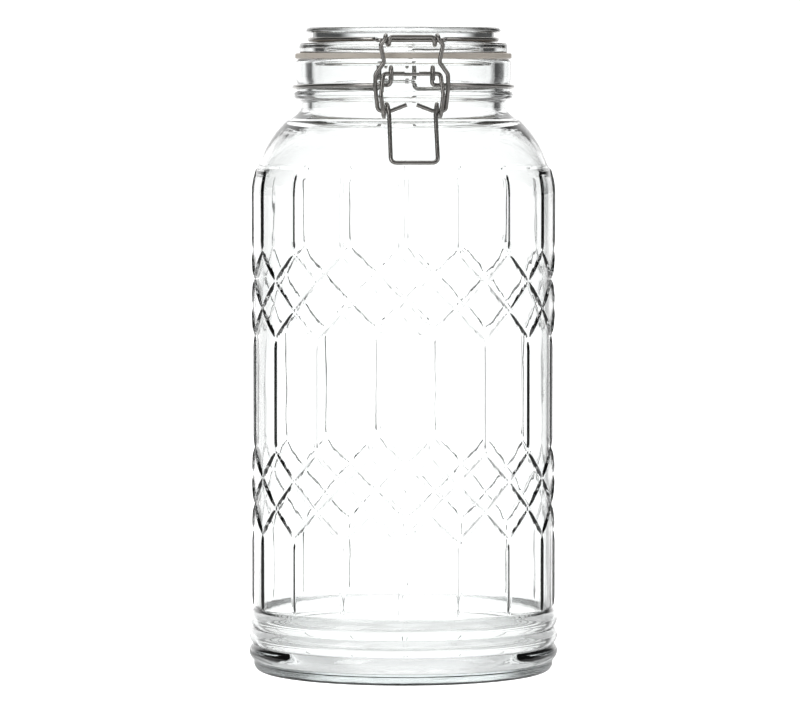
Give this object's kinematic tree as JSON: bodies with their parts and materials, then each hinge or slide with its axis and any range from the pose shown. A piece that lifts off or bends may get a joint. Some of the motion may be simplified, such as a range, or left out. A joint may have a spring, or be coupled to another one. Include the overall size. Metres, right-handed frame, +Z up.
{
  "type": "clip-top glass canister",
  "caption": "Tall round glass canister with raised lattice, ribbed foot, hinged glass lid with rubber gasket, and a wire clip latch.",
  "frame": {"origin": "centre of the foot ring, on the surface that the jar stands on", "axes": "+Z up along the jar's axis, -Y towards the clip at the front, +Y towards the lid hinge, +X to the right seen from the front"},
  "size_m": [0.17, 0.17, 0.354],
  "materials": {
    "jar_glass": "clear pressed glass, smooth",
    "lid_glass": "clear pressed glass, smooth",
    "gasket_rubber": "matt pale natural rubber",
    "clip_wire": "drawn round steel wire"
  },
  "bodies": {
    "jar_body": {"jar": "jar_glass", "neck_wire": "clip_wire"},
    "lid_body": {"lid": "lid_glass", "gasket": "gasket_rubber", "lid_wire": "clip_wire"},
    "link_body": {"latch_link": "clip_wire"},
    "lever_body": {"latch_lever": "clip_wire"}
  },
  "joints": [
    {"name": "lid_hinge", "type": "hinge", "parent": "jar_body", "child": "lid_body", "pos_m": [0, 0.0638, 0.335], "axis": [-1, 0, 0], "range_deg": [0, 105]},
    {"name": "link_swing", "type": "hinge", "parent": "lid_body", "child": "link_body", "pos_m": [0, -0.061, 0.3466], "axis": [-1, 0, 0], "range_deg": [0, 85]},
    {"name": "lever_swing", "type": "hinge", "parent": "link_body", "child": "lever_body", "pos_m": [0, -0.0625, 0.3087], "axis": [-1, 0, 0], "range_deg": [0, 99]}
  ],
  "couplings": [
    {"joint": "lever_swing", "follows": "link_swing", "ratio": 1.16}
  ]
}
